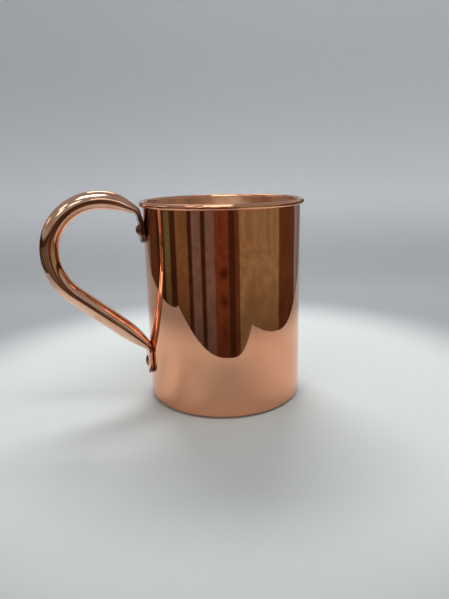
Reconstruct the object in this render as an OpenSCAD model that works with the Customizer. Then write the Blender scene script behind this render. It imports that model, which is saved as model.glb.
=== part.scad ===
// Copper mug: a one-piece spun cup with a rolled rim, a bent tube handle with flattened ends, and two rivets.
// The cup stands on Z = 0 with its axis on Z. The handle lies in the XZ plane, on the -X side.
// Units are millimetres.

/* [Cup] */
// Height from the table to the top of the rim
cup_h = 101.6; // [99:0.1:108]
// Outside diameter of the straight wall
cup_d = 79.2; // [77:0.1:82]
// Thickness of the copper sheet, wall and floor
sheet_t = 0.8; // [0.6:0.05:0.9]
// Outside radius of the corner between the wall and the floor
base_corner_r = 2.5; // [1.5:0.1:5]
// Diameter of the rolled edge at the rim
curl_d = 2.7; // [2.6:0.1:3.2]
// Slit between the end of the rolled edge and the wall
curl_gap = 0.3; // [0.2:0.05:0.4]

/* [Handle tube] */
// Outside diameter of the round tube
tube_d = 9; // [8.5:0.1:9.5]
// Wall of the tube
tube_wall = 1; // [0.8:0.05:1]
// Thickness of the tube where it is pressed flat against the cup
tab_t = 2.2; // [2.2:0.05:2.5]
// Length of tube over which the round section closes down to the flat one
flare_run = 19; // [16:0.5:20]
// Depth of the shallow seat that fits the flat end to the round wall
seat_depth = 0.2; // [0.1:0.05:0.3]

/* [Handle bends] */
// Angle at which the upper end leans out to clear the rim
lean_angle = 15; // [14:0.5:16]
// Angle of the tube above level as it leaves the rim
crown_rise = 25; // [24.5:0.25:25.5]
// Centre-line radius of the bend over the top
crown_r = 27; // [26.5:0.25:27.5]
// Degrees that the tube turns over the top
crown_turn = 40; // [39.5:0.25:40.5]
// Centre-line radius of the bend at the far side
outer_r = 23.75; // [23.25:0.25:24.25]
// Degrees that the tube turns at the far side
outer_turn = 72.5; // [72:0.25:73]
// Centre-line radius of the bend into the lower leg
under_r = 27.5; // [27:0.25:28]
// Degrees that the tube turns into the lower leg
under_turn = 52; // [51.5:0.25:52.5]
// Centre-line radius of the small bend at the foot of the leg
foot_r = 5; // [4.5:0.25:5.5]
// Length of flat tube below the foot bend
foot_run = 12.8; // [12:0.1:13.5]

/* [Rivets] */
// Depth of the upper rivet below the top of the rim
rivet_drop = 13.6; // [13.2:0.1:14.6]
// Diameter of the rivet's shank and of the holes it fills
shank_d = 3.2; // [2.4:0.1:4]
// Diameter of the rivet heads
head_d = 6; // [5:0.1:7]
// Height of the upper rivet's domed head
upper_head_h = 2; // [1:0.1:2.4]
// Height of the lower rivet's head, which is hammered flatter
lower_head_h = 1; // [0.6:0.1:2]
// Height of the low heads inside the cup
inner_head_h = 0.9; // [0.6:0.1:1.2]

/* [Hidden] */

round_fn = 96;
small_fn = 48;
rivet_fn = 96;
slack = 1;
copper = "#c8744a";
copper_dark = "#a9573a";

cup_r = cup_d / 2;
curl_r = curl_d / 2;
shank_r = shank_d / 2;
head_r = head_d / 2;
upper_rivet_z = cup_h - rivet_drop;

// A tube keeps its outline's length when it is pressed flat, so it grows wider as it grows thinner.
function width_at(t) = t + PI * (tube_d - t) / 2;
tab_w = width_at(tab_t);
tab_end_r = tab_w / 2;

// Distance of the flat end's centre line from the cup's axis
tab_u = cup_r + tab_t / 2 - seat_depth;
tab_face_u = tab_u + tab_t / 2;

// The handle's centre line, in its own plane: u runs out from the cup's axis and z runs up.
// A state is [u, z, heading], with the heading in degrees up from u.
// A run is [length, turn], where a turn to the right, over the top and down, is negative.
lean_r = 10;
lean_run = 5;
shoulder_r = 4;
crown_run = 4.8;
lean_start_z = upper_rivet_z + 0.5;
shoulder_turn = 90 - lean_angle - crown_rise;
leg_heading = crown_rise - crown_turn - outer_turn - under_turn;
foot_turn = -90 - leg_heading;

function bend(r, turn) = [PI * r * abs(turn) / 180, turn];

function move(state, run, part) =
    let (h = state[2], dist = run[0] * part, turn = run[1] * part)
    turn == 0
        ? [state[0] + dist * cos(h), state[1] + dist * sin(h), h]
        : let (r = dist * 180 / (PI * turn))
          [state[0] + r * (sin(h + turn) - sin(h)), state[1] - r * (cos(h + turn) - cos(h)), h + turn];

function state_after(runs, count) =
    count == 0 ? start : move(state_after(runs, count - 1), runs[count - 1], 1);

function length_of(runs, count) = count == 0 ? 0 : length_of(runs, count - 1) + runs[count - 1][0];

start = [tab_u, upper_rivet_z - tab_end_r, 90];
upper_runs = [
    [lean_start_z - start[1], 0],
    bend(lean_r, -lean_angle),
    [lean_run, 0],
    bend(shoulder_r, -shoulder_turn),
    [crown_run, 0],
    bend(crown_r, -crown_turn),
    bend(outer_r, -outer_turn),
    bend(under_r, -under_turn)
];
upper_flat_runs = 3;

// The straight leg is as long as it has to be for the foot to come back against the wall.
leg_start = state_after(upper_runs, len(upper_runs));
foot_reach = foot_r * (-1 - sin(leg_heading));
leg_run = (tab_u - foot_reach - leg_start[0]) / cos(leg_heading);
leg_runs = concat(upper_runs, [[leg_run, 0], bend(foot_r, foot_turn)]);
foot_end = state_after(leg_runs, len(leg_runs));
lower_rivet_z = foot_end[1] - foot_run + tab_end_r;
handle_runs = concat(leg_runs, [[foot_run, 0]]);

upper_flat_end = length_of(handle_runs, upper_flat_runs);
lower_flat_start = length_of(handle_runs, len(leg_runs));

// Thickness of the tube at a distance along it
function opening(dist) = sin(90 * max(0, min(1, dist / flare_run)));
function thickness_at(dist) =
    tab_t + (tube_d - tab_t) * min(opening(dist - upper_flat_end), opening(lower_flat_start - dist));

// Rings are closer together in the bends and where the tube opens out.
bend_step = 8;
flare_step = 2.4;
plain_step = 12;
function in_flare(dist) = min(abs(dist - upper_flat_end), abs(lower_flat_start - dist)) < flare_run;
function ring_count(i) =
    let (run = handle_runs[i], from = length_of(handle_runs, i))
    let (step = in_flare(from) || in_flare(from + run[0]) ? flare_step : plain_step)
    ceil(max(run[0] / step, abs(run[1]) / bend_step));

// Each station is [u, z, heading, thickness].
function station(i, part) =
    let (s = move(state_after(handle_runs, i), handle_runs[i], part))
    concat(s, [thickness_at(length_of(handle_runs, i) + handle_runs[i][0] * part)]);
stations = concat(
    [station(0, 0)],
    [for (i = [0:len(handle_runs) - 1]) for (k = [1:ring_count(i)]) station(i, k / ring_count(i))]
);

// One ring of the tube: an oval whose flats grow as it is pressed thinner.
section_points = 24;
flat_half_angle = 15;
function ring(st, inset) =
    let (a = st[3] / 2 - inset, b = width_at(st[3]) / 2 - inset, h = st[2])
    [for (k = [0:section_points - 1])
        let (angle = 360 * k / section_points)
        let (flat = max(-1, min(1, cos(angle) / sin(flat_half_angle))))
        let (across = a * cos(angle) + (b - a) * flat, out = a * sin(angle))
        [-(st[0] - out * sin(h)), across, st[1] + out * cos(h)]];

module cup() {
    color(copper)
        difference() {
            rotate_extrude($fn = round_fn)
                cup_profile();
            rivet_hole(upper_rivet_z);
            rivet_hole(lower_rivet_z);
        }
}

// Half of the cup's section: the wall and floor in one sheet, and the edge rolled outwards
module cup_profile() {
    difference() {
        corner_block(cup_r, cup_h - curl_r, base_corner_r);
        translate([0, sheet_t])
            corner_block(cup_r - sheet_t, cup_h, base_corner_r - sheet_t);
    }
    translate([cup_r - sheet_t + curl_r, cup_h - curl_r])
        rolled_edge();
}

module rolled_edge() {
    core_r = curl_r - sheet_t;
    difference() {
        circle(r = curl_r, $fn = small_fn);
        circle(r = core_r, $fn = small_fn);
        translate([-core_r, -curl_r - slack])
            square([curl_gap, curl_r + slack]);
    }
    // The wall stays whole behind the roll.
    translate([-curl_r, -curl_r])
        square([sheet_t, curl_r]);
}

// A rectangle from the axis with its lower outside corner rounded
module corner_block(r, h, corner_r) {
    translate([0, corner_r])
        square([r, h - corner_r]);
    square([r - corner_r, corner_r]);
    translate([r - corner_r, corner_r])
        circle(r = corner_r, $fn = small_fn);
}

// A hole through the wall and the flat end, along X
module rivet_hole(z) {
    translate([-tab_face_u - slack, 0, z])
        rotate([0, 90, 0])
            cylinder(r = shank_r, h = tab_t + sheet_t + 3 * slack, $fn = rivet_fn);
}

module handle() {
    color(copper)
        difference() {
            swept_tube();
            translate([0, 0, -slack])
                cylinder(r = cup_r, h = cup_h - 2 * curl_d, $fn = round_fn);
            rivet_hole(upper_rivet_z);
            rivet_hole(lower_rivet_z);
            tab_end_cutter(upper_rivet_z);
            tab_end_cutter(lower_rivet_z);
        }
}

// The hollow tube, flat at both ends, as one closed skin: outside, inside, and a rim at each end
module swept_tube() {
    n = section_points;
    rows = len(stations);
    points = [
        for (st = stations) each ring(st, 0),
        for (st = stations) each ring(st, tube_wall)
    ];
    inner = n * rows;
    last = n * (rows - 1);
    faces = [
        for (j = [0:rows - 2]) for (k = [0:n - 1])
            let (a = j * n + k, b = j * n + (k + 1) % n)
            each concat(two_triangles(a, b, b + n, a + n), two_triangles(inner + a, inner + a + n, inner + b + n, inner + b)),
        for (k = [0:n - 1])
            let (a = k, b = (k + 1) % n)
            each concat(
                two_triangles(a, inner + a, inner + b, b),
                two_triangles(last + a, last + b, inner + last + b, inner + last + a)
            )
    ];
    polyhedron(points = points, faces = faces, convexity = 8);
}

function two_triangles(a, b, c, d) = [[a, b, c], [a, c, d]];

// Cuts the end of a flat to a half round about its rivet
module tab_end_cutter(z) {
    depth = tab_t + 2 * slack;
    translate([-tab_u - depth / 2, 0, z])
        rotate([0, 90, 0])
            difference() {
                translate([0, -tab_w, 0])
                    cube([tab_w, 2 * tab_w, depth]);
                translate([0, 0, -slack])
                    cylinder(r = tab_end_r, h = depth + 2 * slack, $fn = round_fn);
            }
}

module upper_rivet() {
    rivet(upper_rivet_z, upper_head_h);
}

module lower_rivet() {
    rivet(lower_rivet_z, lower_head_h);
}

// A solid rivet along X: a domed head outside, a shank, and a low head closed down inside the cup
module rivet(z, outer_head_h) {
    color(copper_dark)
        translate([0, 0, z]) {
            translate([-tab_face_u, 0, 0])
                rotate([0, -90, 0])
                    dome(outer_head_h);
            translate([-tab_face_u, 0, 0])
                rotate([0, 90, 0])
                    cylinder(r = shank_r, h = tab_face_u - cup_r + sheet_t + inner_head_h / 2, $fn = rivet_fn);
            intersection() {
                translate([-cup_r + sheet_t, 0, 0])
                    rotate([0, 90, 0])
                        dome(inner_head_h);
                // keeps the head inside the round wall
                translate([0, 0, -head_d])
                    cylinder(r = cup_r - sheet_t, h = 2 * head_d, $fn = round_fn);
            }
        }
}

// A cap of a sphere, flat on Z = 0, as wide as a rivet head
module dome(h) {
    ball_r = (head_r * head_r + h * h) / (2 * h);
    intersection() {
        translate([0, 0, h - ball_r])
            sphere(r = ball_r, $fn = rivet_fn);
        cylinder(r = head_r + slack, h = h + slack, $fn = rivet_fn);
    }
}

cup();
handle();
upper_rivet();
lower_rivet();
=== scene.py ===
import bmesh
import bpy
import math
from mathutils import Matrix, Vector


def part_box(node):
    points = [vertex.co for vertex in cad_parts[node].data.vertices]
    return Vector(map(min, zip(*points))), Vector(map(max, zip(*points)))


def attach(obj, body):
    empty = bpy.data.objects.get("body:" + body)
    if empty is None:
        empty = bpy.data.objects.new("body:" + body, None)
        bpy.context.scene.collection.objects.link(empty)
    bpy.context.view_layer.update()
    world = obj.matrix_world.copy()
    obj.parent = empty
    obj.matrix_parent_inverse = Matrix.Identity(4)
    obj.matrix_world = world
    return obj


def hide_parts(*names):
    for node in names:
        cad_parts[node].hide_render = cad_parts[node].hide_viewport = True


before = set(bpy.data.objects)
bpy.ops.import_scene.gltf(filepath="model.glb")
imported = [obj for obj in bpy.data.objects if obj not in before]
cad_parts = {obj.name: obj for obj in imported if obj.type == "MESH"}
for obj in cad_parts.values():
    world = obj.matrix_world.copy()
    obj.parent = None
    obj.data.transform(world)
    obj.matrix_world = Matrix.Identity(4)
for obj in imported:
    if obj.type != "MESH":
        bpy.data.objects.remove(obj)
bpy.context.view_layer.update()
MM = 0.001

# ---------------------------------------------------------------- sizes, in metres
cup_lo, cup_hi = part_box("cup")
upper_lo, upper_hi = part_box("upper_rivet")
lower_lo, lower_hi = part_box("lower_rivet")

# The cup: a straight wall of sheet, a small corner, and the edge rolled outwards round a hollow core
CUP_H = cup_hi.z
RIM_R = cup_hi.x
SHEET = 0.8 * MM
CURL_R = 1.35 * MM
CORE_R = CURL_R - SHEET
CURL_GAP = 0.3 * MM
CORNER_R = 2.5 * MM
CUP_R = RIM_R - 2 * CURL_R + SHEET
BASE_DISH = 0.3 * MM
INSIDE_DEPTH = 0.9 * SHEET
ROUND_STEPS = 360

# The rivets, on the -X side
HEAD_R = (upper_hi.z - upper_lo.z) / 2
SHANK_R = 1.6 * MM
UPPER_RIVET_Z = (upper_lo.z + upper_hi.z) / 2
LOWER_RIVET_Z = (lower_lo.z + lower_hi.z) / 2
UPPER_HEAD_H = 2 * MM
LOWER_HEAD_H = 1 * MM
INNER_HEAD_H = 0.9 * MM
HEAD_EASE = 0.02 * MM
RIVET_STEPS = 96

# The handle: a round tube pressed flat at both ends. U runs out from the cup's axis, towards -X.
TUBE_D = 9 * MM
TUBE_WALL = 1 * MM
TAB_T = 2.2 * MM
FLARE_RUN = 19 * MM
TAB_FACE_U = -(upper_lo.x + UPPER_HEAD_H)
TAB_U = TAB_FACE_U - TAB_T / 2
FLAT_HALF_ANGLE = math.radians(15)
SADDLE_MARGIN = 5 * MM
SECTION_STEPS = 64
STATION_STEP = 0.8 * MM


def width_at(thickness):
    """Width of the tube where it is pressed to a thickness: its outline keeps its length."""
    return thickness + math.pi * (TUBE_D - thickness) / 2


TAB_END_R = width_at(TAB_T) / 2


# ---------------------------------------------------------------- small tools
def linear(hex_colour):
    """An sRGB hex colour as linear RGBA."""
    parts = [int(hex_colour[i:i + 2], 16) / 255 for i in (1, 3, 5)]
    return [p / 12.92 if p <= 0.04045 else ((p + 0.055) / 1.055) ** 2.4 for p in parts] + [1.0]


def add(tree, kind, inputs=None, **settings):
    """Adds a node, sets its properties, fills or links its inputs, named or numbered, and returns it."""
    node = tree.nodes.new(kind)
    for name, value in settings.items():
        setattr(node, name, value)
    for key, value in (inputs or {}).items():
        if isinstance(value, bpy.types.Node):
            value = value.outputs[0]
        if isinstance(value, bpy.types.NodeSocket):
            tree.links.new(value, node.inputs[key])
        else:
            node.inputs[key].default_value = value
    return node


def link_object(name, mesh):
    """A mesh as an object at the origin, in the scene."""
    piece = bpy.data.objects.new(name, mesh)
    bpy.context.scene.collection.objects.link(piece)
    return piece


def mesh_from(name, points, edges=(), faces=()):
    mesh = bpy.data.meshes.new(name)
    mesh.from_pydata(points, edges, faces)
    mesh.update()
    return mesh


def arc(centre, radius, start, end, steps):
    """Points on an arc in the plane of a profile, from one angle to another in degrees."""
    angles = [math.radians(start + (end - start) * k / steps) for k in range(steps + 1)]
    return [(centre[0] + radius * math.cos(a), centre[1] + radius * math.sin(a)) for a in angles]


def between(a, b, steps):
    """Evenly spaced points from a up to, but not including, b."""
    return [tuple(a[i] + (b[i] - a[i]) * k / steps for i in (0, 1)) for k in range(steps)]


# ---------------------------------------------------------------- geometry trees
def new_tree(name, inputs):
    """An empty geometry tree with a geometry socket and named inputs. Returns the tree and its input node."""
    tree = bpy.data.node_groups.new(name, "GeometryNodeTree")
    tree.interface.new_socket("Geometry", in_out="INPUT", socket_type="NodeSocketGeometry")
    for label, kind in inputs:
        tree.interface.new_socket(label, in_out="INPUT", socket_type=kind)
    tree.interface.new_socket("Geometry", in_out="OUTPUT", socket_type="NodeSocketGeometry")
    return tree, tree.nodes.new("NodeGroupInput").outputs


def row_and_column(tree, columns):
    """Which ring of a grid a point is in, and which place in the ring."""
    index = add(tree, "GeometryNodeInputIndex")
    ring = add(tree, "ShaderNodeMath", {0: index, 1: columns}, operation="DIVIDE")
    row = add(tree, "ShaderNodeMath", {0: ring}, operation="FLOOR")
    column = add(tree, "ShaderNodeMath", {0: index, 1: columns}, operation="MODULO")
    return row, column


def store_uv(tree, geometry, uv):
    """Stores a UV map that is worked out at the points, before their seams are merged."""
    at_points = add(tree, "GeometryNodeFieldOnDomain", {"Value": uv}, domain="POINT",
                    data_type="FLOAT_VECTOR")
    return add(tree, "GeometryNodeStoreNamedAttribute",
               {"Geometry": geometry, "Name": "UVMap", "Value": at_points},
               data_type="FLOAT2", domain="CORNER")


def finish_tree(tree, geometry, material, merge):
    """Closes seams and poles, smooths, realises and gives the material."""
    merged = add(tree, "GeometryNodeMergeByDistance", {"Geometry": geometry, "Distance": merge})
    smooth = add(tree, "GeometryNodeSetShadeSmooth", {"Geometry": merged})
    real = add(tree, "GeometryNodeRealizeInstances", {"Geometry": smooth})
    coated = add(tree, "GeometryNodeSetMaterial", {"Geometry": real, "Material": material})
    add(tree, "NodeGroupOutput", {0: coated})


def turned_sheet_tree():
    """Turns a profile, a line of points in XZ, once round Z, and carries it to a place and a heading.
    The UV map holds the way round and the way along the profile, in metres."""
    tree, given = new_tree("turned_sheet", [
        ("Steps Round", "NodeSocketInt"),
        ("Profile Points", "NodeSocketInt"),
        ("UV Radius", "NodeSocketFloat"),
        ("Place", "NodeSocketVector"),
        ("Turn", "NodeSocketVector"),
        ("Material", "NodeSocketMaterial"),
    ])
    columns = add(tree, "ShaderNodeMath", {0: given["Steps Round"], 1: 1.0}, operation="ADD")
    grid = add(tree, "GeometryNodeMeshGrid", {"Vertices X": given["Profile Points"], "Vertices Y": columns})
    row, column = row_and_column(tree, columns)
    part = add(tree, "ShaderNodeMath", {0: column, 1: given["Steps Round"]}, operation="DIVIDE")
    angle = add(tree, "ShaderNodeMath", {0: part, 1: -2 * math.pi}, operation="MULTIPLY")
    position = add(tree, "GeometryNodeInputPosition")
    profile = add(tree, "GeometryNodeSampleIndex",
                  {"Geometry": given["Geometry"], "Value": position, "Index": row}, data_type="FLOAT_VECTOR")
    turned = add(tree, "ShaderNodeVectorRotate",
                 {"Vector": profile, "Angle": angle}, rotation_type="Z_AXIS")
    along = add(tree, "GeometryNodeInputNamedAttribute", {"Name": "along"}, data_type="FLOAT")
    along_here = add(tree, "GeometryNodeSampleIndex",
                     {"Geometry": given["Geometry"], "Value": along, "Index": row}, data_type="FLOAT")
    way_round = add(tree, "ShaderNodeMath", {0: angle, 1: given["UV Radius"]}, operation="MULTIPLY")
    uv = add(tree, "ShaderNodeCombineXYZ", {"X": way_round, "Y": along_here})
    mapped = store_uv(tree, grid, uv)
    shaped = add(tree, "GeometryNodeSetPosition", {"Geometry": mapped, "Position": turned})
    placed = add(tree, "GeometryNodeTransform",
                 {"Geometry": shaped, "Translation": given["Place"], "Rotation": given["Turn"]})
    finish_tree(tree, placed, given["Material"], 0.002 * MM)
    return tree


def bent_tube_tree():
    """Sweeps a tube along stations, points in XZ that carry their heading, thickness and distance.
    Each ring is an oval that keeps its outline's length as it is pressed thinner."""
    tree, given = new_tree("bent_tube", [
        ("Stations", "NodeSocketInt"),
        ("Section Steps", "NodeSocketInt"),
        ("Tube Diameter", "NodeSocketFloat"),
        ("Wall", "NodeSocketFloat"),
        ("Flat Angle", "NodeSocketFloat"),
        ("Material", "NodeSocketMaterial"),
    ])
    columns = add(tree, "ShaderNodeMath", {0: given["Section Steps"], 1: 1.0}, operation="ADD")
    row, column = row_and_column(tree, columns)
    part = add(tree, "ShaderNodeMath", {0: column, 1: given["Section Steps"]}, operation="DIVIDE")
    angle = add(tree, "ShaderNodeMath", {0: part, 1: 2 * math.pi}, operation="MULTIPLY")

    def at_station(name):
        value = add(tree, "GeometryNodeInputNamedAttribute", {"Name": name}, data_type="FLOAT")
        return add(tree, "GeometryNodeSampleIndex",
                   {"Geometry": given["Geometry"], "Value": value, "Index": row}, data_type="FLOAT")

    position = add(tree, "GeometryNodeInputPosition")
    centre = add(tree, "GeometryNodeSampleIndex",
                 {"Geometry": given["Geometry"], "Value": position, "Index": row}, data_type="FLOAT_VECTOR")
    heading = at_station("heading")
    thickness = at_station("thickness")
    pressed = add(tree, "ShaderNodeMath", {0: given["Tube Diameter"], 1: thickness}, operation="SUBTRACT")
    width = add(tree, "ShaderNodeMath", {0: pressed, 1: math.pi / 2, 2: thickness}, operation="MULTIPLY_ADD")
    outline = add(tree, "ShaderNodeMath", {0: given["Tube Diameter"], 1: math.pi}, operation="MULTIPLY")
    cosine = add(tree, "ShaderNodeMath", {0: angle}, operation="COSINE")
    sine = add(tree, "ShaderNodeMath", {0: angle}, operation="SINE")
    flat_sine = add(tree, "ShaderNodeMath", {0: given["Flat Angle"]}, operation="SINE")
    slope = add(tree, "ShaderNodeMath", {0: cosine, 1: flat_sine}, operation="DIVIDE")
    slope = add(tree, "ShaderNodeMath", {0: slope, 1: -1.0}, operation="MAXIMUM")
    flat = add(tree, "ShaderNodeMath", {0: slope, 1: 1.0}, operation="MINIMUM")
    heading_sine = add(tree, "ShaderNodeMath", {0: heading}, operation="SINE")
    heading_cosine = add(tree, "ShaderNodeMath", {0: heading}, operation="COSINE")

    def skin(inset):
        """One skin of the tube, set in from the outside."""
        half = add(tree, "ShaderNodeMath", {0: thickness, 1: 0.5}, operation="MULTIPLY")
        half = add(tree, "ShaderNodeMath", {0: half, 1: inset}, operation="SUBTRACT")
        half_width = add(tree, "ShaderNodeMath", {0: width, 1: 0.5}, operation="MULTIPLY")
        half_width = add(tree, "ShaderNodeMath", {0: half_width, 1: inset}, operation="SUBTRACT")
        stretch = add(tree, "ShaderNodeMath", {0: half_width, 1: half}, operation="SUBTRACT")
        stretch = add(tree, "ShaderNodeMath", {0: stretch, 1: flat}, operation="MULTIPLY")
        across = add(tree, "ShaderNodeMath", {0: half, 1: cosine, 2: stretch}, operation="MULTIPLY_ADD")
        out = add(tree, "ShaderNodeMath", {0: half, 1: sine}, operation="MULTIPLY")
        offset = add(tree, "ShaderNodeCombineXYZ", {
            "X": add(tree, "ShaderNodeMath", {0: out, 1: heading_sine}, operation="MULTIPLY"),
            "Y": across,
            "Z": add(tree, "ShaderNodeMath", {0: out, 1: heading_cosine}, operation="MULTIPLY"),
        })
        place = add(tree, "ShaderNodeVectorMath", {0: centre, 1: offset}, operation="ADD")
        grid = add(tree, "GeometryNodeMeshGrid", {"Vertices X": given["Stations"], "Vertices Y": columns})
        uv = add(tree, "ShaderNodeCombineXYZ", {
            "X": at_station("along"),
            "Y": add(tree, "ShaderNodeMath", {0: part, 1: outline}, operation="MULTIPLY"),
        })
        mapped = store_uv(tree, grid, uv)
        return add(tree, "GeometryNodeSetPosition", {"Geometry": mapped, "Position": place})

    inside = add(tree, "GeometryNodeFlipFaces", {"Mesh": skin(given["Wall"])})
    both = add(tree, "GeometryNodeJoinGeometry", {"Geometry": inside})
    tree.links.new(skin(0.0).outputs[0], both.inputs["Geometry"])
    finish_tree(tree, both, given["Material"], 0.002 * MM)
    return tree


def run_tree(name, base_mesh, tree, values):
    """Evaluates a tree on a mesh with its named inputs set, and returns the result as a plain object."""
    carrier = link_object(name + "_base", base_mesh)
    modifier = carrier.modifiers.new(tree.name, "NODES")
    modifier.node_group = tree
    for item in tree.interface.items_tree:
        if item.in_out == "INPUT" and item.name in values:
            modifier[item.identifier] = values[item.name]
    made = carrier.evaluated_get(bpy.context.evaluated_depsgraph_get())
    mesh = bpy.data.meshes.new_from_object(made)
    mesh.name = name
    carrier.modifiers.remove(modifier)
    bpy.data.objects.remove(carrier)
    return link_object(name, mesh)


def profile_mesh(points):
    """A line of points in XZ that carries the distance along it."""
    mesh = mesh_from("profile", [(x, 0.0, z) for x, z in points],
                     [(k, k + 1) for k in range(len(points) - 1)])
    along = [0.0]
    for a, b in zip(points, points[1:]):
        along.append(along[-1] + math.dist(a, b))
    mesh.attributes.new("along", "FLOAT", "POINT").data.foreach_set("value", along)
    return mesh


def drill(piece, name, cutter):
    """Takes a cutter's shape out of a piece, and removes the cutter."""
    modifier = piece.modifiers.new(name, "BOOLEAN")
    modifier.operation = "DIFFERENCE"
    modifier.solver = "EXACT"
    modifier.object = cutter
    made = piece.evaluated_get(bpy.context.evaluated_depsgraph_get())
    mesh = bpy.data.meshes.new_from_object(made)
    piece.modifiers.remove(modifier)
    old = piece.data
    piece.data = mesh
    bpy.data.meshes.remove(old)
    bpy.data.objects.remove(cutter)


def rod(name, radius, start, end, z, steps=64):
    """A cutter: a cylinder along X."""
    bm = bmesh.new()
    turn = Matrix.Rotation(math.radians(90), 4, "Y")
    place = Matrix.Translation(((start + end) / 2, 0, z))
    bmesh.ops.create_cone(bm, cap_ends=True, segments=steps, radius1=radius, radius2=radius,
                          depth=end - start, matrix=place @ turn)
    mesh = bpy.data.meshes.new(name)
    bm.to_mesh(mesh)
    bm.free()
    return link_object(name, mesh)


def upright_rod(name, radius, bottom, top):
    """A cutter: a cylinder on the cup's axis."""
    bm = bmesh.new()
    bmesh.ops.create_cone(bm, cap_ends=True, segments=ROUND_STEPS, radius1=radius, radius2=radius,
                          depth=top - bottom, matrix=Matrix.Translation((0, 0, (bottom + top) / 2)))
    mesh = bpy.data.meshes.new(name)
    bm.to_mesh(mesh)
    bm.free()
    return link_object(name, mesh)


def tab_end_cutter(z):
    """A cutter that leaves the free end of a flat half round about its rivet."""
    side, near, far = 2 * TAB_END_R, -TAB_U - TAB_T, -TAB_U + TAB_T
    outline = arc((0, 0), TAB_END_R, 180, 360, 48) + [(side, 0), (side, -side), (-side, -side), (-side, 0)]
    count = len(outline)
    points = [(x, y, z + dz) for x in (near, far) for y, dz in outline]
    sides = [(k, (k + 1) % count, count + (k + 1) % count, count + k) for k in range(count)]
    ends = [tuple(range(count))[::-1], tuple(range(count, 2 * count))]
    mesh = mesh_from("tab_end", points, (), ends + list(sides))
    bm = bmesh.new()
    bm.from_mesh(mesh)
    bmesh.ops.recalc_face_normals(bm, faces=bm.faces)
    bm.to_mesh(mesh)
    bm.free()
    return link_object("tab_end", mesh)


def crisp(piece, angle=32):
    """Merges what a cut left doubled, and keeps edges sharper than an angle in degrees crisp."""
    bm = bmesh.new()
    bm.from_mesh(piece.data)
    for face in bm.faces:
        face.material_index = 0
        face.smooth = True
    bmesh.ops.remove_doubles(bm, verts=bm.verts, dist=0.001 * MM)
    bmesh.ops.dissolve_degenerate(bm, edges=bm.edges, dist=0.0005 * MM)
    bm.to_mesh(piece.data)
    bm.free()
    coat = [m for m in piece.data.materials if m][0]
    piece.data.materials.clear()
    piece.data.materials.append(coat)
    piece.data.set_sharp_from_angle(angle=math.radians(angle))


# ---------------------------------------------------------------- materials
PEACH_COPPER = "#ecab87"
TUBE_COPPER = "#f4c5a8"
# Paler than the outside's copper: painted light that brightens the inside.
INSIDE_COPPER_PAINTED_PALE = "#fdcda6"
BASE_COPPER = "#d99b78"
# The rivets' colour is darker and browner: partly tarnish, partly painted shade.
RIVET_TARNISH_AND_SHADE = "#8a5540"
# Painted shade about the tube's upper flat, for the dark room that it mirrors.
PAINTED_SHADE_BROWN = "#5a3020"

# Along the tube from its upper end: where it starts to clear of painted shade and dulling, where the dulling
# has gone, and where the painted shade has gone
DULL_AND_SHADE_RUN = 9 * MM
DULLED_RUN = 22 * MM
SHADE_GONE_RUN = 26 * MM


def copper(name, colour, roughness):
    """A bare copper material with its one colour and gloss. Returns the material, its tree and its shader."""
    material = bpy.data.materials.new(name)
    material.use_nodes = True
    tree = material.node_tree
    tree.nodes.clear()
    shader = add(tree, "ShaderNodeBsdfPrincipled",
                 {"Base Color": linear(colour), "Metallic": 1.0, "Roughness": roughness})
    add(tree, "ShaderNodeOutputMaterial", {"Surface": shader})
    return material, tree, shader


def grit(tree, cycles_per_mm, detail=3.0, roughness=0.5, source="Object"):
    """Noise with so many cycles a millimetre along each axis of the piece, or of its UV map."""
    coordinates = add(tree, "ShaderNodeTexCoord").outputs[source]
    scales = [cycles / MM for cycles in cycles_per_mm]
    stretched = add(tree, "ShaderNodeMapping", {"Vector": coordinates, "Scale": scales})
    return add(tree, "ShaderNodeTexNoise",
               {"Vector": stretched, "Scale": 1.0, "Detail": detail, "Roughness": roughness})


def spun_mirror_copper():
    """Copper sheet spun to shape and buffed bright: a near mirror, with soft waves left by the spinning
    roller, rings from the buff, finger smudges and a slightly redder bloom in places. A real buff's rings are
    finer than these, which are 0.6 mm apart so that they show."""
    material, tree, shader = copper("spun_mirror_copper", PEACH_COPPER, 0.06)
    waves = grit(tree, (0.035, 0.035, 0.02), detail=1.0)
    rings = grit(tree, (0.02, 0.02, 1.6), detail=2.0)
    smudges = grit(tree, (0.05, 0.05, 0.04), detail=5.0, roughness=0.6)
    bloom = grit(tree, (0.03, 0.03, 0.025), detail=4.0, roughness=0.55)
    bloom_share = add(tree, "ShaderNodeMapRange",
                      {"Value": bloom, "From Min": 0.45, "From Max": 0.7, "To Max": 0.7},
                      interpolation_type="SMOOTHSTEP")
    colour = add(tree, "ShaderNodeMix", {0: bloom_share, 6: linear(PEACH_COPPER), 7: linear("#e9a07c")},
                 data_type="RGBA")
    smudge_dulling = add(tree, "ShaderNodeMapRange",
                         {"Value": smudges, "From Min": 0.5, "From Max": 0.8,
                          "To Min": 0.015, "To Max": 0.08},
                         interpolation_type="SMOOTHSTEP")
    ring_dulling = add(tree, "ShaderNodeMapRange",
                       {"Value": rings, "From Min": 0.3, "From Max": 0.7, "To Max": 0.012})
    gloss = add(tree, "ShaderNodeMath", {0: smudge_dulling, 1: ring_dulling}, operation="ADD")
    wave_relief = add(tree, "ShaderNodeBump", {"Height": waves, "Distance": 0.08 * MM})
    relief = add(tree, "ShaderNodeBump", {"Height": rings, "Distance": 0.0006 * MM, "Normal": wave_relief})
    tree.links.new(colour.outputs[2], shader.inputs["Base Color"])
    tree.links.new(gloss.outputs[0], shader.inputs["Roughness"])
    tree.links.new(relief.outputs[0], shader.inputs["Normal"])
    return material


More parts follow.
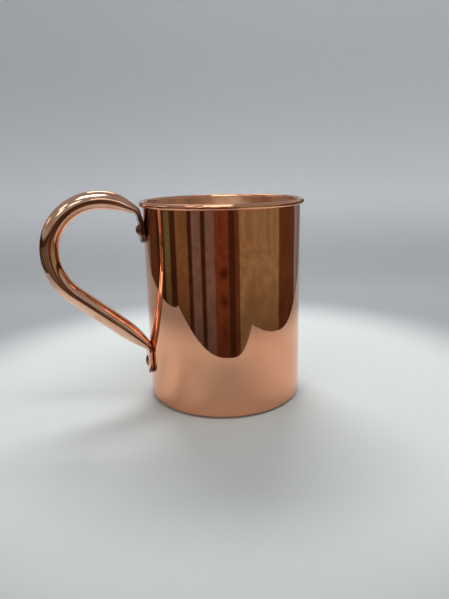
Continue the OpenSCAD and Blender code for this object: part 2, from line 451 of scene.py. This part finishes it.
def turned_inside_copper():
    """The inside of the spun cup, finished on the lathe and not buffed: satin, with fine rings round it that
    draw each light out into an upright streak. Its copper is paler than the outside's as painted light, to
    brighten the inside."""
    material, tree, shader = copper("turned_inside_copper", INSIDE_COPPER_PAINTED_PALE, 0.5)
    rings = grit(tree, (0.02, 0.02, 1.1))
    stains = grit(tree, (0.06, 0.06, 0.06), detail=4.0)
    stained = add(tree, "ShaderNodeMapRange",
                  {"Value": stains, "From Min": 0.42, "From Max": 0.7, "To Max": 0.8},
                  interpolation_type="SMOOTHSTEP")
    colour = add(tree, "ShaderNodeMix", {0: stained, 6: linear(INSIDE_COPPER_PAINTED_PALE), 7: linear("#d99a72")},
                 data_type="RGBA")
    gloss = add(tree, "ShaderNodeMapRange",
                {"Value": stains, "From Min": 0.35, "From Max": 0.7, "To Min": 0.52, "To Max": 0.64})
    around = add(tree, "ShaderNodeTangent", direction_type="UV_MAP", uv_map="UVMap")
    relief = add(tree, "ShaderNodeBump", {"Height": rings, "Distance": 0.01 * MM})
    shader.inputs["Anisotropic"].default_value = 0.85
    shader.inputs["Anisotropic Rotation"].default_value = 0.25
    tree.links.new(colour.outputs[2], shader.inputs["Base Color"])
    tree.links.new(gloss.outputs[0], shader.inputs["Roughness"])
    tree.links.new(around.outputs[0], shader.inputs["Tangent"])
    tree.links.new(relief.outputs[0], shader.inputs["Normal"])
    return material


def scoured_base_copper():
    """The underside, turned flat and scuffed by every table: brown with tarnish, dull, ringed by the tool."""
    material, tree, shader = copper("scoured_base_copper", BASE_COPPER, 0.4)
    place = add(tree, "ShaderNodeTexCoord").outputs["Object"]
    radius = add(tree, "ShaderNodeVectorMath", {0: place}, operation="LENGTH").outputs["Value"]
    ring = add(tree, "ShaderNodeMath", {0: radius, 1: 0.9 / MM}, operation="MULTIPLY")
    rings = add(tree, "ShaderNodeTexNoise", {"W": ring, "Scale": 1.0, "Detail": 2.0}, noise_dimensions="1D")
    tarnish = grit(tree, (0.07, 0.07, 0.07), detail=6.0, roughness=0.65)
    browned = add(tree, "ShaderNodeMapRange",
                  {"Value": tarnish, "From Min": 0.4, "From Max": 0.65, "To Max": 0.9},
                  interpolation_type="SMOOTHSTEP")
    colour = add(tree, "ShaderNodeMix", {0: browned, 6: linear(BASE_COPPER), 7: linear("#8a5238")},
                 data_type="RGBA")
    gloss = add(tree, "ShaderNodeMapRange",
                {"Value": tarnish, "From Min": 0.35, "From Max": 0.65, "To Min": 0.28, "To Max": 0.55})
    relief = add(tree, "ShaderNodeBump", {"Height": rings, "Distance": 0.02 * MM})
    tree.links.new(colour.outputs[2], shader.inputs["Base Color"])
    tree.links.new(gloss.outputs[0], shader.inputs["Roughness"])
    tree.links.new(relief.outputs[0], shader.inputs["Normal"])
    return material


def drawn_tube_copper():
    """Copper tube drawn through a die, bent and buffed: bright, with fine lines along it, finger-dulled in
    patches, and dulled about the upper flat, where no buff reaches. Dark brown is painted there as painted
    shade, for the dark room that the flat mirrors."""
    material, tree, shader = copper("drawn_tube_copper", TUBE_COPPER, 0.1)
    lines = grit(tree, (0.03, 1.5, 0.001), detail=2.0, source="UV")
    smudges = grit(tree, (0.08, 0.08, 0.08), detail=4.0)
    tube_uv = add(tree, "ShaderNodeTexCoord").outputs["UV"]
    along = add(tree, "ShaderNodeSeparateXYZ", {0: tube_uv}).outputs["X"]
    smudged = add(tree, "ShaderNodeMapRange",
                  {"Value": smudges, "From Min": 0.45, "From Max": 0.7, "To Max": 0.7},
                  interpolation_type="SMOOTHSTEP")
    # Painted shade: dark brown about the upper flat, standing in for the dark room that the flat mirrors.
    browned = add(tree, "ShaderNodeMapRange",
                  {"Value": along, "From Min": DULL_AND_SHADE_RUN, "From Max": SHADE_GONE_RUN,
                   "To Min": 0.88, "To Max": 0.0},
                  interpolation_type="SMOOTHSTEP")
    colour = add(tree, "ShaderNodeMix", {0: smudged, 6: linear(TUBE_COPPER), 7: linear("#dd9c7a")},
                 data_type="RGBA")
    colour = add(tree, "ShaderNodeMix", {0: browned, 6: colour.outputs[2], 7: linear(PAINTED_SHADE_BROWN)},
                 data_type="RGBA")
    smudge_dulling = add(tree, "ShaderNodeMapRange",
                         {"Value": smudges, "From Min": 0.4, "From Max": 0.7, "To Min": 0.04, "To Max": 0.13},
                         interpolation_type="SMOOTHSTEP")
    end_dulling = add(tree, "ShaderNodeMapRange",
                      {"Value": along, "From Min": DULL_AND_SHADE_RUN, "From Max": DULLED_RUN,
                       "To Min": 0.12, "To Max": 0.0})
    gloss = add(tree, "ShaderNodeMath", {0: smudge_dulling, 1: end_dulling}, operation="ADD")
    relief = add(tree, "ShaderNodeBump", {"Height": lines, "Distance": 0.0015 * MM})
    tree.links.new(colour.outputs[2], shader.inputs["Base Color"])
    tree.links.new(gloss.outputs[0], shader.inputs["Roughness"])
    tree.links.new(relief.outputs[0], shader.inputs["Normal"])
    return material


def hammered_rivet_copper():
    """A copper rivet closed with a hammer: duller than the sheet, and browner, partly for tarnish and partly
    as painted shade for the dark room that it mirrors.
    """
    material, tree, shader = copper("hammered_rivet_copper", RIVET_TARNISH_AND_SHADE, 0.3)
    dimples = grit(tree, (0.7, 0.7, 0.7), detail=1.0)
    gloss = add(tree, "ShaderNodeMapRange",
                {"Value": dimples, "From Min": 0.3, "From Max": 0.7, "To Min": 0.24, "To Max": 0.42})
    relief = add(tree, "ShaderNodeBump", {"Height": dimples, "Distance": 0.08 * MM})
    tree.links.new(gloss.outputs[0], shader.inputs["Roughness"])
    tree.links.new(relief.outputs[0], shader.inputs["Normal"])
    return material


# ---------------------------------------------------------------- the cup
def cup_profile():
    """The section of the cup as one closed line: down the outside, under the floor, up the inside and
    round the roll."""
    curl = (CUP_R - SHEET + CURL_R, CUP_H - CURL_R)
    corner = (CUP_R - CORNER_R, CORNER_R)
    slit_angle = math.degrees(math.acos((CORE_R - CURL_GAP) / CORE_R))
    roll_bottom = math.degrees(math.acos((CORE_R - CURL_GAP) / CURL_R))
    outer_end = -180 + roll_bottom
    points = between((0.0, BASE_DISH), (CUP_R - 4 * CORNER_R, BASE_DISH), 12)
    points += between((CUP_R - 4 * CORNER_R, BASE_DISH), (CUP_R - 2.6 * CORNER_R, 0.0), 6)
    points += between((CUP_R - 2.6 * CORNER_R, 0.0), (corner[0], 0.0), 6)
    points += arc(corner, CORNER_R, -90, 0, 12)
    wall_top = (CUP_R, curl[1] - CORE_R * math.sin(math.radians(slit_angle)))
    points += between(points.pop(), wall_top, 16)
    points += arc(curl, CORE_R, -180, -180 - (360 - slit_angle), 24)
    points += arc(curl, CURL_R, outer_end, 180, 48)
    points += between(points.pop(), (CUP_R - SHEET, CORNER_R), 16)
    inner_corner = CORNER_R - SHEET
    points += arc(corner, inner_corner, 0, -90, 8)
    points += between(points.pop(), (0.0, SHEET), 14)
    points.append((0.0, SHEET))
    return points


def make_cup(tree, outside, inside, underside):
    points = cup_profile()
    cup = run_tree("cup_spun_shell", profile_mesh(points), tree, {
        "Steps Round": ROUND_STEPS, "Profile Points": len(points), "UV Radius": CUP_R, "Material": outside,
    })
    for z in (UPPER_RIVET_Z, LOWER_RIVET_Z):
        drill(cup, "rivet_hole", rod("rivet_hole", SHANK_R, -CUP_R - SHEET, -CUP_R + 2 * SHEET, z))
    crisp(cup)
    cup.data.materials.append(inside)
    cup.data.materials.append(underside)
    for polygon in cup.data.polygons:
        height = polygon.center.z
        radius = math.hypot(polygon.center.x, polygon.center.y)
        if SHEET / 2 < height < CUP_H - CURL_R and radius < CUP_R - INSIDE_DEPTH:
            polygon.material_index = 1
        elif height < SHEET / 2 and radius < CUP_R - CORNER_R:
            polygon.material_index = 2
    return cup


# ---------------------------------------------------------------- the handle
LEAN_ANGLE = math.radians(15)
CROWN_RISE = math.radians(25)
CROWN_TURN = math.radians(40)
OUTER_TURN = math.radians(72.5)
UNDER_TURN = math.radians(52)
LEG_HEADING = CROWN_RISE - CROWN_TURN - OUTER_TURN - UNDER_TURN
FOOT_TURN = -math.pi / 2 - LEG_HEADING
FOOT_R = 5 * MM


def move(state, run, part):
    """The state [u, z, heading] after part of a run (length, turn)."""
    u, z, heading = state
    length, turn = run[0] * part, run[1] * part
    if turn == 0:
        return [u + length * math.cos(heading), z + length * math.sin(heading), heading]
    radius = length / turn
    return [u + radius * (math.sin(heading + turn) - math.sin(heading)),
            z - radius * (math.cos(heading + turn) - math.cos(heading)), heading + turn]


def bend(radius, turn):
    return (radius * abs(turn), turn)


def handle_runs():
    """Straights and bends of the tube's centre line, from its upper end, with the state that it starts in."""
    start = [TAB_U, UPPER_RIVET_Z - TAB_END_R, math.pi / 2]
    runs = [
        (0.5 * MM + TAB_END_R, 0),
        bend(10 * MM, -LEAN_ANGLE),
        (5 * MM, 0),
        bend(4 * MM, -(math.pi / 2 - LEAN_ANGLE - CROWN_RISE)),
        (4.8 * MM, 0),
        bend(27 * MM, -CROWN_TURN),
        bend(23.75 * MM, -OUTER_TURN),
        bend(27.5 * MM, -UNDER_TURN),
    ]
    state = start
    for run in runs:
        state = move(state, run, 1)
    foot_reach = FOOT_R * (-1 - math.sin(LEG_HEADING))
    leg = (TAB_U - foot_reach - state[0]) / math.cos(LEG_HEADING)
    runs += [(leg, 0), bend(FOOT_R, FOOT_TURN)]
    for run in runs[-2:]:
        state = move(state, run, 1)
    runs.append((state[1] - LOWER_RIVET_Z + TAB_END_R, 0))
    return start, runs


def handle_stations():
    """Points along the centre line, each [u, z, heading, distance], and where the two flats end."""
    state, runs = handle_runs()
    stations = [[*state, 0.0]]
    distance = 0.0
    for run in runs:
        steps = max(2, round(run[0] / STATION_STEP))
        stations += [[*move(state, run, k / steps), distance + run[0] * k / steps]
                     for k in range(1, steps + 1)]
        state = move(state, run, 1)
        distance += run[0]
    upper_flat = sum(run[0] for run in runs[:3])
    lower_flat = distance - runs[-1][0]
    return stations, upper_flat, lower_flat


def thickness_at(distance, upper_flat, lower_flat):
    """Thickness of the tube at a distance along it: flat at both ends and round between."""
    opened = min(distance - upper_flat, lower_flat - distance) / FLARE_RUN
    return TAB_T + (TUBE_D - TAB_T) * math.sin(math.pi / 2 * max(0.0, min(1.0, opened)))


def make_handle(tree, material):
    stations, upper_flat, lower_flat = handle_stations()
    mesh = mesh_from("centre_line", [(-u, 0.0, z) for u, z, _, _ in stations],
                     [(k, k + 1) for k in range(len(stations) - 1)])
    columns = {
        "heading": [s[2] for s in stations],
        "thickness": [thickness_at(s[3], upper_flat, lower_flat) for s in stations],
        "along": [s[3] for s in stations],
    }
    for name, values in columns.items():
        mesh.attributes.new(name, "FLOAT", "POINT").data.foreach_set("value", values)
    handle = run_tree("handle_bent_tube", mesh, tree, {
        "Stations": len(stations), "Section Steps": SECTION_STEPS, "Tube Diameter": TUBE_D,
        "Wall": TUBE_WALL, "Flat Angle": FLAT_HALF_ANGLE, "Material": material,
    })
    close_ends(handle)
    drill(handle, "saddle", upright_rod("saddle", CUP_R, -SADDLE_MARGIN, CUP_H - SADDLE_MARGIN))
    for z in (UPPER_RIVET_Z, LOWER_RIVET_Z):
        drill(handle, "tab_end", tab_end_cutter(z))
        drill(handle, "rivet_hole", rod("rivet_hole", SHANK_R, -TAB_FACE_U - SHEET, -CUP_R + SHEET, z))
    crisp(handle)
    return handle


def close_ends(piece):
    """Joins the outer and inner skin with a rim at each end of the tube."""
    bm = bmesh.new()
    bm.from_mesh(piece.data)
    open_edges = [e for e in bm.edges if e.is_boundary]
    middle = (UPPER_RIVET_Z + LOWER_RIVET_Z) / 2
    upper_end = [e for e in open_edges if e.verts[0].co.z > middle]
    lower_end = [e for e in open_edges if e.verts[0].co.z <= middle]
    bmesh.ops.bridge_loops(bm, edges=upper_end)
    bmesh.ops.bridge_loops(bm, edges=lower_end)
    bmesh.ops.recalc_face_normals(bm, faces=bm.faces)
    bm.to_mesh(piece.data)
    bm.free()


# ---------------------------------------------------------------- the rivets
def rivet_profile(head_h):
    """Half of a rivet's section, from the top of the outer head to the top of the inner one."""
    def dome(height):
        ball = (HEAD_R ** 2 + height ** 2) / (2 * height)
        edge = math.asin(HEAD_R / ball)
        return ball, edge

    reach = TAB_FACE_U - CUP_R + SHEET
    ball, edge = dome(head_h)
    steps = 16
    points = [(ball * math.sin(edge * k / steps), head_h - ball + ball * math.cos(edge * k / steps))
              for k in range(steps + 1)]
    points += between((HEAD_R - HEAD_EASE, 0.0), (SHANK_R, 0.0), 4)
    points += between((SHANK_R, 0.0), (SHANK_R, -reach), 4)
    points += between((SHANK_R, -reach), (HEAD_R, -reach), 4)
    ball, edge = dome(INNER_HEAD_H)
    lowest = -reach - INNER_HEAD_H
    points += [(ball * math.sin(edge * k / steps), lowest + ball - ball * math.cos(edge * k / steps))
               for k in range(steps, -1, -1)]
    return points[::-1]


def make_rivet(name, tree, z, head_h, material):
    points = rivet_profile(head_h)
    rivet = run_tree(name, profile_mesh(points), tree, {
        "Steps Round": RIVET_STEPS, "Profile Points": len(points), "UV Radius": HEAD_R,
        "Place": Vector((-TAB_FACE_U, 0.0, z)), "Turn": Vector((0.0, math.radians(-90), 0.0)),
        "Material": material,
    })
    # The inner head is closed down onto the round wall, but for the shank.
    wall = CUP_R - SHEET
    clear_of_shank = 1.02 * SHANK_R
    for vertex in rivet.data.vertices:
        x, y, height = vertex.co
        if math.hypot(x, y) > wall and math.hypot(y, height - z) > clear_of_shank and x > -CUP_R:
            vertex.co.x = -math.sqrt(wall ** 2 - y ** 2)
    crisp(rivet)
    return rivet


turned = turned_sheet_tree()
tube = bent_tube_tree()
cup = make_cup(turned, spun_mirror_copper(), turned_inside_copper(), scoured_base_copper())
handle = make_handle(tube, drawn_tube_copper())
rivet_metal = hammered_rivet_copper()
upper_rivet = make_rivet("rivet_upper", turned, UPPER_RIVET_Z, UPPER_HEAD_H, rivet_metal)
lower_rivet = make_rivet("rivet_lower", turned, LOWER_RIVET_Z, LOWER_HEAD_H, rivet_metal)

for piece, node, slot in (
    (cup, "cup", "cup_copper"),
    (handle, "handle", "handle_copper"),
    (upper_rivet, "upper_rivet", "rivet_copper"),
    (lower_rivet, "lower_rivet", "rivet_copper"),
):
    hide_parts(node)
    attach(piece, "root")

# ---------------------------------------------------------------- camera
# The camera looks at the mug from 15 degrees round towards its handle, from a little above its rim.
CAM_SIDE = math.radians(-15)
CAM_DISTANCE = 266.2 * MM
CAM_HEIGHT = 118.0 * MM
CAM_YAW = math.radians(0.124)
CAM_PITCH = math.radians(14.524)
CAM_ROLL = math.radians(-1.246)
to_view = Matrix.Rotation(CAM_SIDE, 4, "Z")


def make_camera():
    data = bpy.data.cameras.new("camera")
    data.sensor_width = 36
    data.lens = 31.25
    data.clip_start = 0.01
    camera = bpy.data.objects.new("camera", data)
    forward = Vector((math.sin(CAM_YAW) * math.cos(CAM_PITCH), math.cos(CAM_YAW) * math.cos(CAM_PITCH),
                      -math.sin(CAM_PITCH)))
    right = Vector((math.cos(CAM_YAW), -math.sin(CAM_YAW), 0))
    up = right.cross(forward)
    right, up = (math.cos(CAM_ROLL) * right + math.sin(CAM_ROLL) * up,
                 math.cos(CAM_ROLL) * up - math.sin(CAM_ROLL) * right)
    turn = Matrix((right, up, -forward)).transposed().to_4x4()
    camera.matrix_world = to_view @ Matrix.Translation((0, -CAM_DISTANCE, CAM_HEIGHT)) @ turn
    bpy.context.scene.collection.objects.link(camera)
    bpy.context.scene.camera = camera


# ---------------------------------------------------------------- floor, backdrop and reflected surroundings
def matte(name, colour):
    material = bpy.data.materials.new(name)
    material.use_nodes = True
    tree = material.node_tree
    tree.nodes.clear()
    shader = add(tree, "ShaderNodeBsdfPrincipled", {"Base Color": linear(colour), "Roughness": 0.9})
    add(tree, "ShaderNodeOutputMaterial", {"Surface": shader})
    return material, tree, shader


SWEEP_R = 250 * MM
WALL_H = 360 * MM
FLAT_BEHIND = 200 * MM
FLAT_IN_FRONT = 650 * MM
FLOOR_GAP = 0.02 * MM
# Painted shade: from the first distance out to the second the floor turns grey, and stays so till it rises.
SHADE_BAND_START = 125 * MM
SHADE_BAND_END = 205 * MM
RISE_START = 4 * MM
RISE_END = 90 * MM
FLOOR_CLOTH = "#dde3e1"
SHADE_BAND_CLOTH = "#a2a5a7"
WALL_CLOTH = "#d2d5d8"


def flat_reach(angle):
    """How far the floor runs flat at an angle, in the camera's frame: near behind the mug, far in front."""
    behind = 0.5 + 0.5 * math.sin(angle)
    return FLAT_IN_FRONT - (FLAT_IN_FRONT - FLAT_BEHIND) * behind ** 1.5


def floor_height(place):
    """Height of the backdrop over a place, up to its wall."""
    rise = max(0.0, math.hypot(place.x, place.y) - flat_reach(math.atan2(place.y, place.x)))
    return SWEEP_R - math.sqrt(SWEEP_R ** 2 - min(rise, SWEEP_R) ** 2)


def make_backdrop():
    """A pale floor that sweeps up into a wall all round, near behind the mug and far in front of it. Out from
    the mug the floor turns grey as painted shade, and it pales again as it rises into the wall.
    """
    rows = []
    sectors = 96
    for k in range(sectors):
        angle = 2 * math.pi * k / sectors
        flat = flat_reach(angle)
        section = [(0.0, 0.0), (flat * 0.33, 0.0), (flat * 0.66, 0.0)] + \
            arc((flat, SWEEP_R), SWEEP_R, -90, 0, 14) + [(flat + SWEEP_R, WALL_H)]
        rows.append([(r * math.cos(angle), r * math.sin(angle), z - FLOOR_GAP) for r, z in section])
    count = len(rows[0])
    points = [p for row in rows for p in row]
    row_starts = [(i * count, (i + 1) % sectors * count) for i in range(sectors)]
    faces = [(after + j, after + j + 1, here + j + 1, here + j)
             for here, after in row_starts for j in range(count - 1)]
    floor = link_object("backdrop", mesh_from("backdrop", points, (), faces))
    floor.data.transform(to_view)
    for polygon in floor.data.polygons:
        polygon.use_smooth = True
    material, tree, shader = matte("backdrop_cloth", FLOOR_CLOTH)
    place = add(tree, "ShaderNodeTexCoord").outputs["Object"]
    reach = add(tree, "ShaderNodeVectorMath", {0: place}, operation="LENGTH").outputs["Value"]
    height = add(tree, "ShaderNodeSeparateXYZ", {0: place}).outputs["Z"]
    beyond = add(tree, "ShaderNodeMapRange", {"Value": reach, "From Min": SHADE_BAND_START, "From Max": SHADE_BAND_END},
                 interpolation_type="SMOOTHSTEP")
    risen = add(tree, "ShaderNodeMapRange", {"Value": height, "From Min": RISE_START, "From Max": RISE_END},
                interpolation_type="SMOOTHSTEP")
    # Painted shade: the floor turns grey out from the mug, before the wall's pale colour takes over.
    shade_band = add(tree, "ShaderNodeMix", {0: beyond, 6: linear(FLOOR_CLOTH), 7: linear(SHADE_BAND_CLOTH)},
               data_type="RGBA")
    shaded = add(tree, "ShaderNodeMix", {0: risen, 6: shade_band.outputs[2], 7: linear(WALL_CLOTH)},
                 data_type="RGBA")
    tree.links.new(shaded.outputs[2], shader.inputs["Base Color"])
    floor.data.materials.append(material)
    return floor


# The room that the polished wall mirrors, guessed as plain things standing side by side.
PALE_CLOTH = "#98a2ac"
DARK_TIMBER = "#3c2c20"
BROWN_TIMBER = "#5c4430"
OLIVE_CURTAIN = "#626c50"
TAN_BOARD = "#74644a"
GREY_CURTAIN = "#706a6c"
RUST_BRICK = "#6a4430"
SAND_WALL = "#8c866a"

# Where each begins, in whole degrees round the wall from the middle towards the right.
ROOM_STRIPS = [
    (-80, PALE_CLOTH), (-60, BROWN_TIMBER), (-50, DARK_TIMBER), (-42, OLIVE_CURTAIN),
    (-37, DARK_TIMBER), (-32, TAN_BOARD), (-23, DARK_TIMBER), (-20, GREY_CURTAIN),
    (-14, DARK_TIMBER), (-11, GREY_CURTAIN), (-5, RUST_BRICK), (4, DARK_TIMBER),
    (8, BROWN_TIMBER), (11, SAND_WALL), (41, BROWN_TIMBER), (60, PALE_CLOTH),
]
STRIP_BLUR = 0.8

# The near edge of the room's floor is scalloped. Each scallop has its angle, its nearest distance from the
# wall in mm, and for each side the angle over which it falls back by 100 mm and how sharply.
SCALLOPS = [
    (-35, 200, (22, 2), (12, 2)),
    (3, 80, (32, 2.5), (18, 3.5)),
    (36, 125, (35, 2), (27, 3)),
]

# Dark gaps in the strips near the middle: the angle of each and its distance from the wall.
GAPS = [(1, 130 * MM), (1, 215 * MM), (1, 340 * MM)]
GAP_HALF_ANGLE = 3
GAP_SPREAD = 0.1
GAP_DARKNESS = 0.8


def edge_distance(angle):
    """How far from the wall the dark room begins, seen at an angle round the wall."""
    reaches = []
    for centre, nearest, left, right in SCALLOPS:
        width, power = left if angle < centre else right
        reaches.append(nearest + 100 * (abs(angle - centre) / width) ** power)
    return min(min(reaches), 600) * MM


def strip_colour(angle):
    """The colour at an angle, with a narrow blend where one strip meets the next."""
    colour = linear(ROOM_STRIPS[0][1])
    for start, name in ROOM_STRIPS[1:]:
        part = min(1.0, max(0.0, (angle - start) / STRIP_BLUR + 0.5))
        colour = [p + (q - p) * part for p, q in zip(colour, linear(name))]
    return colour


def gap_shade(angle, distance):
    """How dark a gap makes the strip at an angle and a distance."""
    nearness = [((angle - a) / GAP_HALF_ANGLE) ** 2 + (math.log(distance / d) / GAP_SPREAD) ** 2
                for a, d in GAPS]
    return GAP_DARKNESS * math.exp(-min(nearness))


def make_room_card():
    """A card seen only in the polished metal. Each strip of it lies along the line on which the wall
    mirrors the camera's view, so it is seen upright in the wall."""
    top, widest, step = 150 * MM, 80, 0.25
    eye_level, fade, edge_shade = 60 * MM, 20 * MM, 200 * MM
    upper_darkness, edge_darkness = 0.85, 0.5
    furthest, stride, lift = 620 * MM, 5 * MM, 0.5 * MM
    dark = linear("#2a1712")
    points, colours, count = [], [], 96
    angles = [-widest + step * k for k in range(int(2 * widest / step) + 1)]
    for degrees in angles:
        s = math.radians(degrees)
        origin = Vector((CUP_R * math.sin(s), -CUP_R * math.cos(s), 0))
        heading = 2 * s + math.atan2(origin.x, CAM_DISTANCE + origin.y)
        way = Vector((math.sin(heading), -math.cos(heading), 0))
        colour = strip_colour(degrees)
        near = edge_distance(degrees)
        far = near
        while floor_height(origin + way * far) == 0 and far < furthest:
            far += stride
        for k in range(count):
            part = k / (count - 1)
            place = origin + way * (near + (far - near) * min(1.0, part * 2))
            place.z = floor_height(place) + lift + top * max(0.0, part * 2 - 1)
            points.append(place)
            distance = math.dist(place, origin)
            shade = max(upper_darkness * min(1.0, max(0.0, (place.z - eye_level) / fade)),
                        edge_darkness * (1 - min(1.0, (distance - near) / edge_shade)),
                        gap_shade(degrees, distance))
            colours += [c + (d - c) * shade for c, d in zip(colour, dark)]
    faces = [(i * count + j, (i + 1) * count + j, (i + 1) * count + j + 1, i * count + j + 1)
             for i in range(len(angles) - 1) for j in range(count - 1)]
    card = link_object("room_card", mesh_from("room_card", points, (), faces))
    card.data.attributes.new("strip", "FLOAT_COLOR", "POINT").data.foreach_set("color", colours)
    card.data.transform(to_view)
    material = bpy.data.materials.new("room_card")
    material.use_nodes = True
    tree = material.node_tree
    tree.nodes.clear()
    strip = add(tree, "ShaderNodeAttribute", attribute_name="strip")
    clutter = add(tree, "ShaderNodeMapRange", {"Value": grit(tree, (0.016, 0.016, 0.016)), "From Min": 0.35,
                                               "From Max": 0.65, "To Min": 0.82, "To Max": 1.12})
    glow = add(tree, "ShaderNodeEmission", {"Color": strip.outputs["Color"], "Strength": clutter})
    add(tree, "ShaderNodeOutputMaterial", {"Surface": glow})
    card.data.materials.append(material)
    card.visible_camera = False
    card.visible_diffuse = False
    card.visible_shadow = False


def area_light(name, place, target, size, power, colour="#ffffff"):
    data = bpy.data.lights.new(name, "AREA")
    data.shape = "RECTANGLE"
    data.size, data.size_y = size
    data.energy = power
    data.color = linear(colour)[:3]
    lamp = bpy.data.objects.new(name, data)
    lamp.matrix_world = to_view @ Matrix.Translation(place) @ \
        (Vector(target) - Vector(place)).to_track_quat("-Z", "Y").to_matrix().to_4x4()
    lamp.visible_glossy = False
    bpy.context.scene.collection.objects.link(lamp)


# The windows as the metal mirrors them. Each has its heading, from straight behind the mug towards the right,
# and its height, both in degrees, then its width and height and its brightness.
WINDOWS = [
    (-12, 50, (430 * MM, 400 * MM), 2.4),
    (-90, 25, (300 * MM, 130 * MM), 1.6),
    (-150, 30, (150 * MM, 150 * MM), 3.5),
    (-172, 31, (190 * MM, 120 * MM), 3.5),
    (-130, 44, (200 * MM, 180 * MM), 3.0),
    (-172, 64, (480 * MM, 300 * MM), 6.5),
    (167, 18, (120 * MM, 70 * MM), 2.5),
]
WINDOW_DISTANCE = 1000 * MM


def make_windows():
    """Bright cards seen only in the metal, where windows stand about the room."""
    material = bpy.data.materials.new("window_card")
    material.use_nodes = True
    tree = material.node_tree
    tree.nodes.clear()
    strength = add(tree, "ShaderNodeAttribute", attribute_name="strength").outputs["Fac"]
    glow = add(tree, "ShaderNodeEmission", {"Color": linear("#fffdfa"), "Strength": strength})
    add(tree, "ShaderNodeOutputMaterial", {"Surface": glow})
    points, faces, strengths = [], [], []
    for heading, height, (wide, high), brightness in WINDOWS:
        turn = Matrix.Rotation(math.radians(-heading), 4, "Z") @ Matrix.Rotation(math.radians(height), 4, "X")
        place = Matrix.Translation((0, 0, CUP_H)) @ turn
        first = len(points)
        points += [place @ Vector((x * wide / 2, WINDOW_DISTANCE, z * high / 2))
                   for x, z in ((-1, -1), (1, -1), (1, 1), (-1, 1))]
        faces.append((first, first + 1, first + 2, first + 3))
        strengths += [brightness] * 4
    card = link_object("window_cards", mesh_from("window_cards", points, (), faces))
    card.data.attributes.new("strength", "FLOAT", "POINT").data.foreach_set("value", strengths)
    card.data.transform(to_view)
    card.data.materials.append(material)
    card.visible_camera = False
    card.visible_diffuse = False
    card.visible_shadow = False


def make_lights():
    """Lamps that light the cloth. The metal mirrors the cards and the cloth instead."""
    area_light("back_window", (-0.05, 0.56, 0.8), (0, 0, 0.05), (0.55, 0.3), 5.7, "#fdfdff")
    area_light("side_window", (-0.75, -0.8, 0.8), (0, 0, 0.08), (0.3, 0.3), 0.6)
    area_light("soft_top", (0.15, -0.05, 1.0), (0, 0, 0), (0.6, 0.6), 0.4)
    area_light("wall_wash", (0.15, -0.1, 0.75), (0.18, 0.45, 0.3), (0.4, 0.3), 1.4)
    world = bpy.data.worlds.new("studio")
    world.use_nodes = True
    world.node_tree.nodes["Background"].inputs["Color"].default_value = linear("#e2e4e6")
    world.node_tree.nodes["Background"].inputs["Strength"].default_value = 0.39
    bpy.context.scene.world = world


make_camera()
make_backdrop()
make_room_card()
make_windows()
make_lights()
bpy.context.scene.view_settings.view_transform = "Standard"
